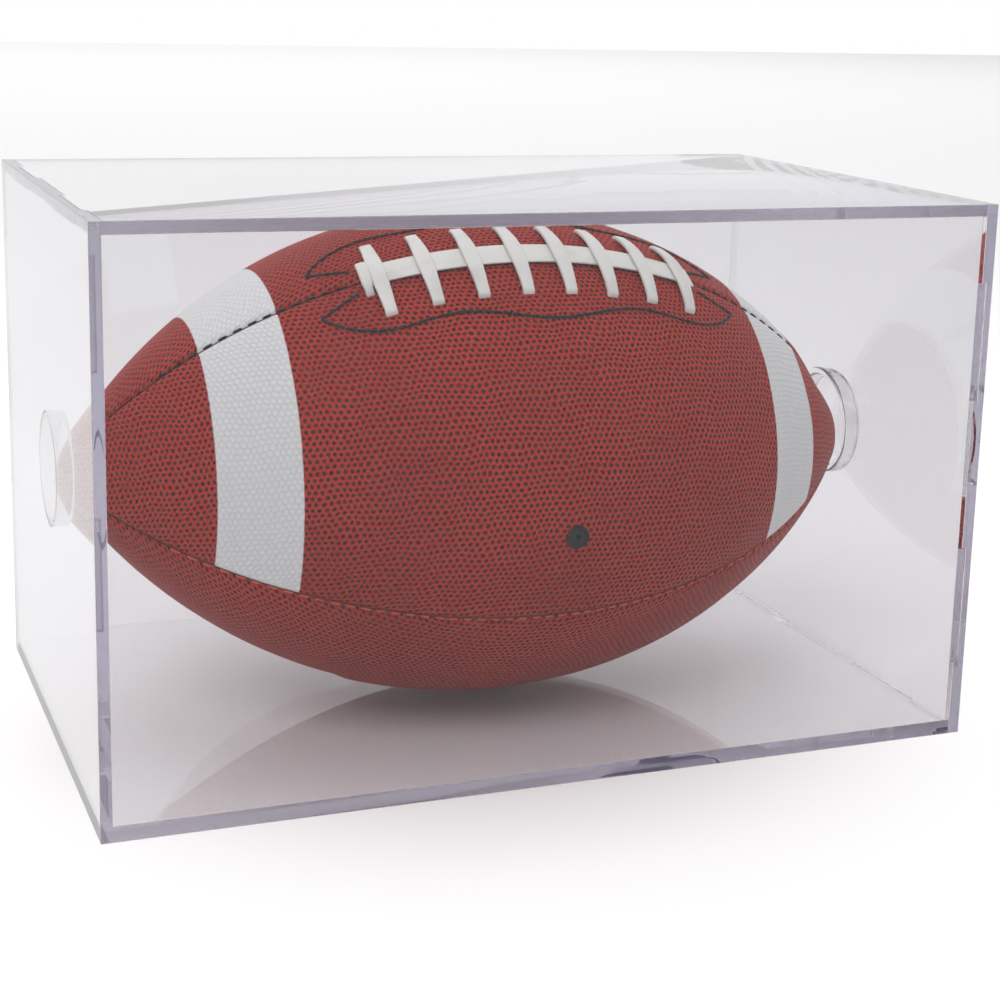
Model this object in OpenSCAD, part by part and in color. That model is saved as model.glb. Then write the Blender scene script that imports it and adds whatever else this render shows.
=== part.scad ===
// Display case for one football, with the football in it.
// The case is two identical clear mouldings. Each has one full end wall and the two long walls
// beside one long edge. The second is the first given half a turn about the slanting line through
// the case's middle, square to X, and slides on from the right. Millimetres, X along the case,
// front at -Y, Z up.

/* [Football] */
// Length of the football from tip to tip
ball_len = 285; // [230:1:345]
// Diameter of the football at its middle
ball_d = 165; // [135:1:200]
// Radius of the rounded tip
tip_r = 25; // [20:0.5:28]
// Angle that the lace seam leans to the front from straight up
ball_roll = 27; // [0:1:60]

/* [Case] */
// Thickness of every clear wall
wall = 4; // [3:0.5:5.5]
// Room from each tip of the football to the end wall
end_room = 2.5; // [1.5:0.5:6]
// Mean room between the football and the long walls
side_room = 6; // [5:0.5:20]
// Room left under the football
floor_room = 1.8; // [1:0.1:3]
// Gap across the mitred long edges
mitre_gap = 0.3; // [0.1:0.05:0.6]
// Gap where a long wall butts the other half's end wall
butt_gap = 0.1; // [0.05:0.05:0.3]

/* [Stepped joint] */
// How deep a tongue goes into the other half's end wall
step_depth = 1.5; // [1:0.1:2]
// Length of one tongue along the edge
tongue_len = 40; // [20:1:50]
// Distance of a tongue's middle from the middle of the edge
tongue_offset = 46; // [30:1:52]
// Clearance round a tongue in its notch
tongue_play = 0.15; // [0.1:0.05:0.3]

/* [Cups] */
// Bore of the cup that takes a tip of the football
cup_bore = 34; // [28:0.5:38]
// Wall of the cup
cup_wall = 2.25; // [1.5:0.25:4]
// Gap between the football and the rim that carries it
rest_gap = 0.3; // [0.2:0.05:0.5]

/* [Cover of the football] */
// Thickness of the leather
leather = 2.2; // [1.6:0.1:3]
// Thickness of the fabric liner
liner = 1.8; // [1.5:0.1:2.5]
// Thickness of the rubber bladder
bladder_wall = 0.8; // [0.6:0.1:2]
// Gap between two panels at a seam
seam_gap = 0.6; // [0.4:0.1:1]
// Thickness of the facing under the lace holes
facing = 1; // [0.6:0.1:1.2]
// Angle that the facing covers to each side of the lace seam
facing_angle = 22; // [22:1:30]
// Length of the facing
facing_len = 152; // [150:1:170]

/* [Laces] */
// Place of the lace row's middle along the football
lace_x = 6.2; // [-8:0.1:8]
// Pitch of the cross laces
lace_pitch = 15.3; // [12:0.1:16]
// Distance of a lace hole from the seam
lace_reach = 15.3; // [12:0.1:17]
// Width of a cross lace
lace_w = 3.8; // [3:0.1:5]
// Thickness of a cross lace
lace_t = 1.5; // [1:0.1:1.8]
// Width of the run along the seam
run_w = 9; // [6:0.5:12]
// Thickness of the run along the seam
run_t = 1.4; // [1:0.1:1.6]
// Length of the run past the outer cross laces
run_tail = 5.5; // [4:0.5:8]
// Length of a cross lace past its leg
lace_lip = 0.3; // [0.2:0.1:1]
// Length of the knot's foot past the run
knot_foot = 1.6; // [1:0.1:3]
// Gap between the knot and the first cross lace
knot_gap = 0.3; // [0.2:0.1:2]
// Diameter of a lace where it goes through the leather
lace_leg_d = 2.8; // [2:0.1:3.4]
// Play round a lace in its hole
lace_play = 0.3; // [0.1:0.05:0.5]

/* [Valve] */
// Place of the valve along the football
valve_x = 5.5; // [-20:0.5:20]
// Angle of the valve from the lace seam
valve_angle = 69; // [40:1:76]
// Diameter of the valve's head
valve_d = 8; // [6:0.5:10]
// Diameter of the needle hole
needle_d = 1.8; // [1.2:0.1:2.4]
// Gap round the valve in the leather
valve_play = 0.15; // [0.1:0.05:0.3]

/* [Stitching] */
// Diameter of the black thread
thread_d = 0.8; // [0.5:0.1:1]
// Number of stitches along one side of the facing
facing_stitches = 48; // [30:2:60]
// Pitch of the stitches along a seam
seam_pitch = 4.5; // [3.5:0.1:8]
// Thread left bare at each tip
seam_end = 26; // [20:1:40]
// Half the length of the stitched outline round the laces
outline_half = 74; // [66:1:74]
// Mean angle of the stitched outline from the seam
outline_angle = 17.2; // [15:0.1:18]
// Wave of the stitched outline
outline_wave = 1.6; // [0:0.1:2]

/* [Hidden] */

$fn = 96;
eps = 0.01;
// One cross lace for each node cross_lace_1 to cross_lace_8
lace_count = 8;
// How far a cross lace's leg and the valve stop short of the bladder
leg_short = 0.12;
// How far a leg reaches up into its lace, and the thickness of the knot
leg_rise = 0.7 * lace_t;
knot_t = 1.15 * lace_t;
// Height of the valve's dome, how far it stands out of the leather, and the rubber under its hole
valve_crown = 0.5;
valve_proud = 0.1;
valve_floor = 1.2;
// Share of a stitch's pitch left bare at each end, in a seam and in the outline
seam_bare = 0.2;
outline_bare = 0.12;
// Waves of the outline from its middle to one end, and how squarely it closes
outline_waves = 1.163;
outline_corner = 7;
outline_close = 0.9;
// Angles from the seam of the outline's pointed tips and of its ends beside the laces, how far
// its ends lie back from the tips, and the stitches of each way back
outline_tip = 9;
outline_root = 4.3;
outline_back = 13;
back_stitches = 5;
case_len = ball_len + 2 * (end_room + wall);
case_side = ball_d + 2 * (side_room + wall);
axis_z = wall + floor_room + ball_d / 2;

// The football's outline: one long arc each side, run into a rounded tip
half_len = ball_len / 2;
half_d = ball_d / 2;
tip_x = half_len - tip_r;
body_r = (tip_x * tip_x + half_d * half_d - tip_r * tip_r) / (2 * (half_d - tip_r));
body_sink = body_r - half_d;
join_x = tip_x * body_r / (body_r - tip_r);

// The rim of each cup stands where the lowered football meets its lower edge
cup_drop = case_side / 2 - axis_z;
rim_r = cup_bore / 2 - cup_drop;
rim_x = outline_x(rim_r, rest_gap);
cup_len = case_len / 2 - wall - rim_x;

// Surfaces inside the leather, as depths below the football's outside
liner_depth = leather;
liner_inner = leather + liner;
bladder_inner = liner_inner + bladder_wall;

clear_tint = [0.82, 0.84, 0.9, 0.35];
leather_tint = [0.55, 0.2, 0.15];
lace_tint = [0.93, 0.93, 0.9];
thread_tint = [0.08, 0.07, 0.07];

// Radius of the football at station x, with its surface moved out by off
function outline_r(x, off = 0) =
    abs(x) <= join_x * (body_r + off) / body_r
        ? sqrt(pow(body_r + off, 2) - x * x) - body_sink
        : sqrt(max(0, pow(tip_r + off, 2) - pow(abs(x) - tip_x, 2)));

// Station at which the football, moved out by off, has radius r
function outline_x(r, off = 0) =
    r <= outline_r(join_x, off)
        ? tip_x + sqrt(pow(tip_r + off, 2) - r * r)
        : sqrt(pow(body_r + off, 2) - pow(r + body_sink, 2));

// Point on the football at station x and angle a from the lace seam towards the front
function on_ball(x, a, off = 0) =
    let (r = outline_r(x, off)) [x, -r * sin(a), r * cos(a)];

// Angle of the outline's wave from the seam, for u from -1 to 1 along it
function outline_wave_angle(u) =
    outline_tip + (outline_angle + outline_wave * cos(360 * u * outline_waves) - outline_tip)
        * pow(max(0, 1 - pow(abs(u), outline_corner)), outline_close);

// Point of the outline on one side, for t from -1 to 1 along its wave, and on to -2 and 2 for
// the way back from a tip to the laces
function outline_spot(t, side) =
    let (u = max(-1, min(1, t)), back = abs(t - u))
    on_ball(lace_x + outline_half * u - outline_back * back * sign(u),
            side * (outline_wave_angle(u) - (outline_tip - outline_root) * back));

function lace_station(i) = lace_x + (i - (lace_count + 1) / 2) * lace_pitch;

// Puts the football's own frame, lace seam up and axis on X, into the case
module in_case() {
    translate([0, 0, axis_z]) rotate([ball_roll, 0, 0]) children();
}

// Moves to station x on the lace seam, with Z square to the leather
module on_seam(x) {
    translate([x, 0, outline_r(x)]) rotate([0, asin(x / body_r), 0]) children();
}

// ---- Case ----

// A long wall pair and its end wall, for the front, the bottom and the left end
module half_plates() {
    mitre = mitre_gap / sqrt(2);
    front = -case_side / 2;
    reach = case_len - wall - butt_gap;
    translate([-case_len / 2, 0, 0]) rotate([90, 0, 90]) {
        linear_extrude(wall) translate([front, 0]) square(case_side);
        linear_extrude(reach) polygon([
            [front, 0], [-front - mitre, 0], [-front - wall - mitre, wall], [front + wall, wall],
            [front + wall, case_side - wall - mitre], [front, case_side - mitre]
        ]);
    }
}

// Tongues on the right ends of the bottom and front walls
module half_tongues() {
    reach = wall + butt_gap + step_depth;
    start = case_len / 2 + step_depth - wall - reach;
    for (side = [-1, 1]) {
        first = side * tongue_offset - tongue_len / 2;
        translate([start, first, 0]) cube([reach, tongue_len, wall]);
        translate([start, -case_side / 2, case_side / 2 + first]) cube([reach, wall, tongue_len]);
    }
}

// Notches in the left end wall for the other half's top and back tongues
module half_notches() {
    depth = step_depth + tongue_play;
    start = wall - depth - case_len / 2;
    long = tongue_len + 2 * tongue_play;
    near = case_side / 2 - wall - tongue_play;
    for (side = [-1, 1]) {
        first = side * tongue_offset - long / 2;
        translate([start, first, case_side / 2 + near]) cube([depth + eps, long, 2 * wall]);
        translate([start, near, case_side / 2 + first]) cube([depth + eps, 2 * wall, long]);
    }
}

module case_half() {
    difference() {
        union() {
            half_plates();
            half_tongues();
        }
        half_notches();
    }
}

module case_base_half() {
    color(clear_tint) case_half();
}

module case_cover_half() {
    color(clear_tint)
        translate([0, 0, case_side / 2]) rotate(180, [0, 1, -1])
            translate([0, 0, -case_side / 2]) case_half();
}

// One cup: a short tube bonded to the end wall, its rim eased on the inside
module tip_cup(side) {
    outer = cup_bore / 2 + cup_wall;
    ease = cup_wall / 3;
    color(clear_tint)
        translate([side * (case_len / 2 - wall), 0, case_side / 2]) rotate([0, -side * 90, 0])
            rotate_extrude() polygon([
                [cup_bore / 2, 0], [outer, 0], [outer, cup_len - ease], [outer - ease, cup_len],
                [cup_bore / 2, cup_len]
            ]);
}

// ---- Football ----

// Half section of the football with its surface moved in by depth. Each tip's circle touches the
// long arc from inside at the station where the arc is cut off.
module half_section(depth) {
    turn = join_x * (body_r - depth) / body_r;
    intersection() {
        translate([-body_sink, 0]) circle(body_r - depth, $fn = 360);
        translate([0, -turn]) square([half_d, 2 * turn]);
    }
    intersection() {
        for (side = [-1, 1])
            translate([0, side * tip_x]) circle(tip_r - depth);
        translate([0, -half_len]) square([half_d, ball_len]);
    }
}

// Solid football moved in by depth, axis on X
module ball_solid(depth) {
    rotate([0, 90, 0]) rotate_extrude($fn = 180) half_section(depth);
}

// The quarter of space from angle quarter * 90 on, with room left at both seams
module quarter_space(quarter, gap) {
    rotate([quarter * 90, 0, 0])
        translate([-half_len - 1, -half_d - 1, gap / 2])
            cube([ball_len + 2, half_d + 1 - gap / 2, half_d + 1]);
}

// Space over the facing, from station to station and to facing_angle each side of the seam
module facing_space(inner) {
    intersection() {
        rotate([0, 90, 0])
            rotate([0, 0, 180 - facing_angle]) rotate_extrude(angle = 2 * facing_angle, $fn = 180)
                difference() {
                    half_section(leather);
                    half_section(inner);
                }
        translate([lace_x - facing_len / 2, -half_d, 0]) cube([facing_len, ball_d, ball_d]);
    }
}

// Straight bores for both legs of every cross lace
module lace_bores() {
    for (i = [1:lace_count])
        on_seam(lace_station(i))
            for (side = [-1, 1])
                lace_leg(i, side, lace_leg_d / 2 + lace_play, 1, liner_inner + 1);
}

// Angle at which a cross lace's leg goes in, and how far the leather has dropped there
function leg_round(i) = outline_r(lace_station(i)) / cos(asin(lace_station(i) / body_r));
function leg_angle(i) = asin(lace_reach / leg_round(i));
function leg_drop(i) = leg_round(i) * (1 - cos(leg_angle(i)));

module lace_leg(i, side, radius, above, below) {
    translate([0, side * lace_reach, -leg_drop(i)]) rotate([-side * leg_angle(i), 0, 0])
        translate([0, 0, -below]) rotate(30) cylinder(r = radius, h = above + below, $fn = 24);
}

module at_valve() {
    rotate([valve_angle, 0, 0])
        translate([valve_x, 0, outline_r(valve_x)]) rotate([0, asin(valve_x / body_r), 0]) children();
}

module panel(quarter) {
    color(leather_tint) in_case()
        difference() {
            intersection() {
                difference() {
                    ball_solid(0);
                    ball_solid(leather);
                }
                quarter_space(quarter, seam_gap);
            }
            if (quarter == 0 || quarter == 3)
                lace_bores();
            if (quarter == 0)
                at_valve() translate([0, 0, -leather - 1])
                    cylinder(d = valve_d + 2 * valve_play, h = leather + 3, $fn = 48);
        }
}

module liner_piece(quarter) {
    color("wheat") in_case()
        difference() {
            intersection() {
                difference() {
                    ball_solid(liner_depth);
                    ball_solid(liner_inner);
                }
                quarter_space(quarter, seam_gap);
            }
            if (quarter == 0 || quarter == 3) {
                facing_space(leather + facing);
                lace_bores();
            }
            if (quarter == 0)
                at_valve() translate([0, 0, -liner_inner - 1])
                    cylinder(d = valve_d + 2 * valve_play, h = liner_inner + 3, $fn = 48);
        }
}

module lace_facing(quarter) {
    color("tan") in_case()
        difference() {
            intersection() {
                facing_space(leather + facing);
                quarter_space(quarter, seam_gap);
            }
            lace_bores();
        }
}

module bladder() {
    color("dimgray") in_case()
        difference() {
            ball_solid(liner_inner);
            ball_solid(bladder_inner);
        }
}

// Rubber plug with a low dome, a shoulder on the bladder and a blind needle hole
module inflation_valve() {
    foot = leg_short - liner_inner;
    dome_r = (pow(valve_d / 2, 2) + valve_crown * valve_crown) / (2 * valve_crown);
    color(thread_tint) in_case() at_valve()
        difference() {
            intersection() {
                translate([0, 0, foot]) cylinder(d = valve_d, h = valve_proud + eps - foot, $fn = 48);
                translate([0, 0, valve_proud - dome_r]) sphere(dome_r);
            }
            translate([0, 0, foot + valve_floor]) cylinder(d = needle_d, h = liner_inner, $fn = 24);
        }
}

// Flat lace along the seam, under the cross laces
module lace_run() {
    from_x = lace_station(1) - run_tail;
    to_x = lace_station(lace_count) + run_tail;
    from_a = asin(from_x / body_r);
    to_a = asin(to_x / body_r);
    color(lace_tint) in_case()
        translate([0, run_w / 2, -body_sink]) rotate([90, 0, 0])
            rotate([0, 0, 90 - to_a]) rotate_extrude(angle = to_a - from_a, $fn = 360)
                translate([body_r, 0]) square([run_t, run_w]);
}

// A flat strap at lace i, bent in one arc over the run's corners to a foot half_w from the seam
module strap(i, half_w, thick) {
    drop = leg_round(i) * (1 - cos(asin(half_w / leg_round(i))));
    corner = run_w / 2;
    middle = (corner * corner + run_t * run_t - half_w * half_w - drop * drop)
        / (2 * (run_t + drop));
    bend = norm([corner, run_t - middle]);
    sweep = asin(half_w / bend);
    translate([-lace_w / 2, 0, middle]) rotate([0, 90, 0])
        rotate([0, 0, 180 - sweep]) rotate_extrude(angle = 2 * sweep, $fn = 180)
            translate([bend, 0]) square([thick, lace_w]);
}

module cross_lace(i) {
    color(lace_tint) in_case() on_seam(lace_station(i)) {
        strap(i, lace_reach + lace_leg_d / 2 + lace_lip, lace_t);
        for (side = [-1, 1])
            lace_leg(i, side, lace_leg_d / 2, leg_rise, liner_inner - leg_short);
    }
}

// The knotted end: a shorter turn over the run, beyond the first cross lace
module lace_knot() {
    color(lace_tint) in_case() on_seam(lace_station(1) - lace_w - knot_gap)
        strap(1, run_w / 2 + knot_foot, knot_t);
}

// ---- Stitching ----

// One stitch, a straight length of thread
module thread(from, to) {
    step = to - from;
    length = norm(step);
    translate(from) rotate([0, acos(step.z / length), atan2(step.y, step.x)])
        cylinder(d = thread_d, h = length, $fn = 16);
}

// Stitches that lie in one seam, from tip to tip but for its ends
module seam_stitching(quarter) {
    span = half_len - seam_end;
    count = floor(2 * span / seam_pitch);
    step = 2 * span / count;
    skip_from = quarter == 0 ? lace_station(1) - run_tail - step : half_len;
    skip_to = quarter == 0 ? lace_station(lace_count) + run_tail + step : half_len;
    color(thread_tint) in_case()
        for (i = [0:count - 1]) {
            from = -span + (i + seam_bare) * step;
            to = -span + (i + 1 - seam_bare) * step;
            if (to < skip_from || from > skip_to)
                thread(on_ball(from, quarter * 90, -thread_d / 2),
                       on_ball(to, quarter * 90, -thread_d / 2));
        }
}

// The black wavy outline that holds the facing, on the front (side 1) or the back (side -1)
module facing_stitching(side) {
    stitch = [outline_bare, 1 - outline_bare];
    wave = [for (i = [0:facing_stitches - 1]) ([i, i] + stitch) * 2 / facing_stitches - [1, 1]];
    way_back = [for (i = [0:back_stitches - 1]) [1, 1] + ([i, i] + stitch) / back_stitches];
    color(thread_tint) in_case()
        for (ends = concat(wave, way_back, -way_back))
            thread(outline_spot(ends[0], side), outline_spot(ends[1], side));
}

case_base_half();
case_cover_half();
tip_cup(-1);  // tip_cup_left
tip_cup(1);  // tip_cup_right
panel(0);  // panel_upper_front
panel(1);  // panel_lower_front
panel(2);  // panel_lower_back
panel(3);  // panel_upper_back
liner_piece(0);  // liner_upper_front
liner_piece(1);  // liner_lower_front
liner_piece(2);  // liner_lower_back
liner_piece(3);  // liner_upper_back
bladder();
inflation_valve();
lace_facing(0);  // lace_facing_front
lace_facing(3);  // lace_facing_back
lace_run();
lace_knot();
for (i = [1:lace_count])
    cross_lace(i);
seam_stitching(0);  // stitching_lace_seam
seam_stitching(1);  // stitching_front_seam
seam_stitching(2);  // stitching_bottom_seam
seam_stitching(3);  // stitching_back_seam
facing_stitching(1);  // stitching_facing_front
facing_stitching(-1);  // stitching_facing_back
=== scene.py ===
"""Looks of a football display case.

Two clear halves with a tip cup each, and the laced leather football that rests in the cups.
Sizes are millimetres in the classes and metres in the meshes. X runs along the case, the front
faces -Y and Z is up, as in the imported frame.
"""

import logging
import math
from contextlib import contextmanager
from dataclasses import dataclass
from enum import Enum
from typing import Any, Callable, Iterator, Sequence

import bmesh
import bpy
from mathutils import Matrix, Vector

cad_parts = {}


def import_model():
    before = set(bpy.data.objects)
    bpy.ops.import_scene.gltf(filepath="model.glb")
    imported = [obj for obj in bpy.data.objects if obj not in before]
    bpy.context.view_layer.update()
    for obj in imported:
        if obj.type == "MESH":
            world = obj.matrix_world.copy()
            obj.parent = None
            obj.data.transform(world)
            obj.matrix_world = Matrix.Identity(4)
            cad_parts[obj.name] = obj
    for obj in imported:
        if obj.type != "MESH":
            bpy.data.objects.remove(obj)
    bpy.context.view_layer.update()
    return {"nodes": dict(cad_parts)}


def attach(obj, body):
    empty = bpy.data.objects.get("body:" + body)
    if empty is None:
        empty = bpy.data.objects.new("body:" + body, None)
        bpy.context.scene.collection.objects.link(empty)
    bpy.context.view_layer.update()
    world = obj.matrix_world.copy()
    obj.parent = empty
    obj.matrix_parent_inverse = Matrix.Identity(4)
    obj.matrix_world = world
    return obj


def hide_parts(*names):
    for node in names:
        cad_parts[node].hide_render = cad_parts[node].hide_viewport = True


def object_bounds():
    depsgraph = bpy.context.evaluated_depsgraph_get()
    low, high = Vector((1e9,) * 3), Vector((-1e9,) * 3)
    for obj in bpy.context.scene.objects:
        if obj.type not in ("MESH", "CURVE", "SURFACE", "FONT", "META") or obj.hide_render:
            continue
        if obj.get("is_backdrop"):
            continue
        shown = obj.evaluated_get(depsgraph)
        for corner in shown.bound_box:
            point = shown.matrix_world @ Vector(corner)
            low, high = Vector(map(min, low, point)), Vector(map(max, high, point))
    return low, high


log = logging.getLogger("display_case")

MM = 0.001
Colour = tuple[float, float, float]
Test = Callable[[Vector, Vector], bool]


class Body(Enum):
    """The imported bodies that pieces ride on."""

    BASE = "base_half"
    COVER = "cover_half"
    BALL = "football"


class Slot(Enum):
    """The record's material slots."""

    CLEAR = "clear_acrylic"
    LEATHER = "leather"
    LINER = "liner_fabric"
    FACING = "facing_leather"
    BLADDER = "bladder_rubber"
    VALVE = "valve_rubber"
    LACE = "lace"
    THREAD = "thread"


# ---------------------------------------------------------------------------------------------
# Shader writing
# ---------------------------------------------------------------------------------------------


class Wire:
    """One output socket. Arithmetic on it adds Math nodes."""

    def __init__(self, sheet: "ShaderSheet", socket: bpy.types.NodeSocket) -> None:
        """Keep the socket and the sheet that it is on.

        Args:
            sheet: The material being written.
            socket: The output socket to wrap.
        """
        self.sheet = sheet
        self.socket = socket

    def _math(self, operation: str, first: Any, second: Any) -> "Wire":
        """Return the result of one Math node."""
        return self.sheet.node("ShaderNodeMath", {"operation": operation}, {0: first, 1: second})

    def __add__(self, other: Any) -> "Wire":
        """Return self + other."""
        return self._math("ADD", self, other)

    def __radd__(self, other: Any) -> "Wire":
        """Return other + self."""
        return self._math("ADD", other, self)

    def __sub__(self, other: Any) -> "Wire":
        """Return self - other."""
        return self._math("SUBTRACT", self, other)

    def __rsub__(self, other: Any) -> "Wire":
        """Return other - self."""
        return self._math("SUBTRACT", other, self)

    def __mul__(self, other: Any) -> "Wire":
        """Return self * other."""
        return self._math("MULTIPLY", self, other)

    def __rmul__(self, other: Any) -> "Wire":
        """Return other * self."""
        return self._math("MULTIPLY", other, self)

    def __pow__(self, other: Any) -> "Wire":
        """Return self ** other."""
        return self._math("POWER", self, other)

    def __abs__(self) -> "Wire":
        """Return the size of self."""
        return self._math("ABSOLUTE", self, 0.0)

    def lowest(self, other: Any) -> "Wire":
        """Return the lower of self and other."""
        return self._math("MINIMUM", self, other)

    def wrapped(self) -> "Wire":
        """Return self less its nearest whole number, from -0.5 to 0.5."""
        return self - self._math("ROUND", self, 0.0)

    def wave(self) -> "Wire":
        """Return the sine of self."""
        return self._math("SINE", self, 0.0)

    def step(self, start: float, end: float, low: float = 0.0, high: float = 1.0) -> "Wire":
        """Return a smooth step between two levels.

        Args:
            start: Value of self where the step starts.
            end: Value of self where the step ends.
            low: Result at the start.
            high: Result at the end.

        Returns:
            The stepped value.
        """
        return self.sheet.node(
            "ShaderNodeMapRange",
            {"interpolation_type": "SMOOTHSTEP"},
            {"Value": self, "From Min": start, "From Max": end, "To Min": low, "To Max": high},
        )

    def other(self, name: str) -> "Wire":
        """Return another output of the same node."""
        return Wire(self.sheet, self.socket.node.outputs[name])


class ShaderSheet:
    """One material's node tree in the writing."""

    def __init__(self, name: str) -> None:
        """Start an empty node material of that name."""
        self.material = bpy.data.materials.new(name)
        self.material.use_nodes = True
        self.tree = self.material.node_tree
        self.tree.nodes.clear()

    def node(self, kind: str, settings: dict | None = None, inputs: dict | None = None, out: Any = 0) -> Wire:
        """Add one node.

        Args:
            kind: The node's type name.
            settings: Its own settings, such as an operation.
            inputs: Values or wires for its input sockets, by name or number.
            out: Name or number of the output to hand back.

        Returns:
            The chosen output.
        """
        made = self.tree.nodes.new(kind)
        for key, value in (settings or {}).items():
            setattr(made, key, value)
        for key, value in (inputs or {}).items():
            if isinstance(value, Wire):
                self.tree.links.new(value.socket, made.inputs[key])
            else:
                made.inputs[key].default_value = value
        return Wire(self, made.outputs[out] if made.outputs else None)

    def place(self) -> Wire:
        """Return the place on the piece, in metres."""
        return self.node("ShaderNodeTexCoord", out="Object")

    def chart(self, name: str) -> Wire:
        """Return the named UV map of the piece."""
        return self.node("ShaderNodeUVMap", {"uv_map": name})

    def along(self, axis: str) -> Wire:
        """Return the place along one axis, in millimetres."""
        split = self.node("ShaderNodeSeparateXYZ", inputs={0: self.place()}, out=axis)
        return split * (1.0 / MM)

    def scaled(self, vector: Wire, factor: float) -> Wire:
        """Return a vector times a number."""
        return self.node("ShaderNodeVectorMath", {"operation": "SCALE"}, {0: vector, "Scale": factor})

    def noise(self, vector: Wire, scale: float, detail: float = 2.0, rough: float = 0.5) -> Wire:
        """Return a noise value from 0 to 1."""
        return self.node(
            "ShaderNodeTexNoise",
            inputs={"Vector": vector, "Scale": scale, "Detail": detail, "Roughness": rough},
        )

    def blend(self, factor: Any, first: Any, second: Any) -> Wire:
        """Return a mix of two colours.

        Args:
            factor: Share of the second colour.
            first: Colour or wire.
            second: Colour or wire.

        Returns:
            The mixed colour.
        """
        colours = [c if isinstance(c, Wire) else (*c, 1.0) for c in (first, second)]
        return self.node(
            "ShaderNodeMix",
            {"data_type": "RGBA", "blend_type": "MIX"},
            {0: factor, 6: colours[0], 7: colours[1]},
            out=2,
        )

    def bump(self, height: Wire, depth: float) -> Wire:
        """Return a normal bent by a height.

        Args:
            height: Height from 0 to 1.
            depth: What a height of 1 stands for, in millimetres.

        Returns:
            The bent normal.
        """
        return self.node(
            "ShaderNodeBump", inputs={"Height": height, "Distance": depth * MM, "Strength": 1.0}
        )

    def surface(self, **inputs: Any) -> Wire:
        """Add the shader, with its sockets given by name, and return it."""
        named = {key.replace("_", " "): value for key, value in inputs.items()}
        return self.node("ShaderNodeBsdfPrincipled", inputs=named)

    def done(self, surface: Wire, volume: Wire | None = None) -> bpy.types.Material:
        """Join the shader to the output.

        Args:
            surface: The surface shader.
            volume: The volume shader, for clear stuff.

        Returns:
            The finished material.
        """
        inputs = {"Surface": surface}
        if volume is not None:
            inputs["Volume"] = volume
        self.node("ShaderNodeOutputMaterial", inputs=inputs)
        return self.material


# ---------------------------------------------------------------------------------------------
# Finishes
# ---------------------------------------------------------------------------------------------


@dataclass(frozen=True)
class ClearAcrylic:
    """Polished clear acrylic, faintly lilac through its thickness."""

    name: str = "clear_acrylic"
    ior: float = 1.49
    clear: Colour = (0.872, 0.866, 0.877)
    smear: float = 0.006
    tint: Colour = (0.885, 0.877, 0.903)
    density: float = 34.0

    def build(self) -> bpy.types.Material:
        """Return the material."""
        sheet = ShaderSheet(self.name)
        cloud = sheet.noise(sheet.place(), 9.0, 4.0).step(0.35, 0.75)
        smear = tuple(c - self.smear for c in self.clear)
        glass = sheet.surface(
            Base_Color=sheet.blend(cloud, self.clear, smear),
            Roughness=0.0,
            IOR=self.ior,
            Transmission_Weight=1.0,
            Specular_IOR_Level=0.25,
        )
        soak = sheet.node(
            "ShaderNodeVolumeAbsorption", inputs={"Color": (*self.tint, 1.0), "Density": self.density}
        )
        return sheet.done(glass, soak)


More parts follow.
